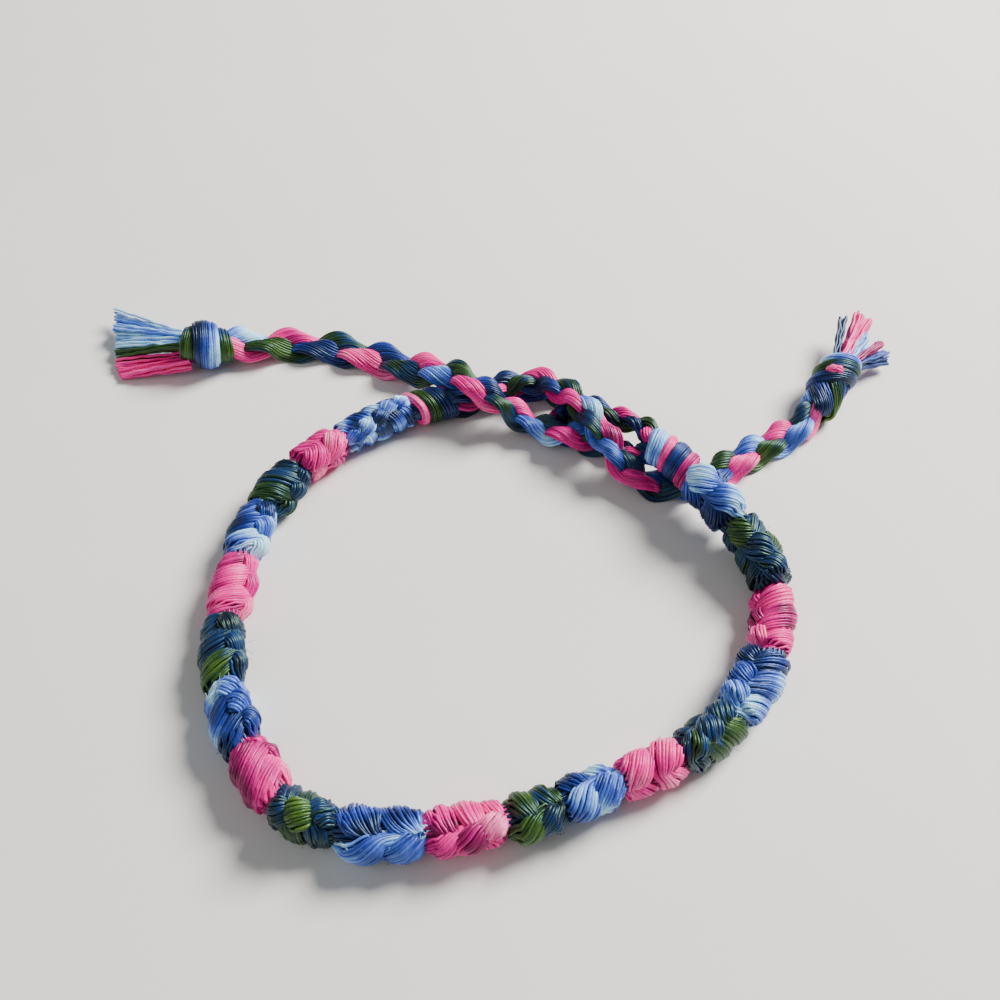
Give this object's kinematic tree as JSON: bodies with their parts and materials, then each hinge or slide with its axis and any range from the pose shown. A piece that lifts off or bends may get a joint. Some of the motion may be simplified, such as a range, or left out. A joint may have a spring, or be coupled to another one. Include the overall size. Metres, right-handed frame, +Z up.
{
  "type": "friendship bracelet",
  "caption": "Friendship bracelet of hitched embroidery floss in bands of blue, pink and green, its braided ties threaded through a braided loop and ending in knots and fringes",
  "frame": {"origin": "centre of the ring's box on the table that it lies on, without the ties, their knots and fringes", "axes": "+Z up from the table, +X along the ring's wider way to the viewer's right, +Y away from the viewer towards the closure; metres"},
  "size_m": [0.104, 0.0737, 0.0074],
  "materials": {
    "blue_floss": "soft sheen of mercerised cotton, fine twisted plies, shading from pale to navy blue",
    "pink_floss": "soft sheen of mercerised cotton, fine twisted plies, shading from salmon to magenta",
    "green_floss": "soft sheen of mercerised cotton, fine twisted plies, shading from leaf green to dark green and navy",
    "wrapped_floss": "soft sheen of mercerised cotton, fine twisted plies, wraps of all three colours",
    "braided_floss": "soft sheen of mercerised cotton, fine twisted plies, strands of all three colours in a braid",
    "knotted_floss": "soft sheen of mercerised cotton, fine twisted plies, strands of all three colours in a knot",
    "cut_floss": "soft sheen of mercerised cotton, fine twisted plies, cut ends of all three colours"
  },
  "bodies": {
    "root": {"left_collar": "wrapped_floss", "blue_knots_1": "blue_floss", "pink_knots_1": "pink_floss", "green_knots_1": "green_floss", "blue_knots_2": "blue_floss", "pink_knots_2": "pink_floss", "green_knots_2": "green_floss", "blue_knots_3": "blue_floss", "pink_knots_3": "pink_floss", "green_knots_3": "green_floss", "blue_knots_4": "blue_floss", "pink_knots_4": "pink_floss", "green_knots_4": "green_floss", "blue_knots_5": "blue_floss", "pink_knots_5": "pink_floss", "green_knots_5": "green_floss", "blue_knots_6": "blue_floss", "pink_knots_6": "pink_floss", "green_knots_6": "green_floss", "blue_knots_7": "blue_floss", "right_collar": "wrapped_floss", "braided_loop": "braided_floss", "left_tie": "braided_floss", "right_tie": "braided_floss", "left_stop_knot": "knotted_floss", "right_stop_knot": "knotted_floss", "left_fringe": "cut_floss", "right_fringe": "cut_floss"}
  },
  "joints": []
}
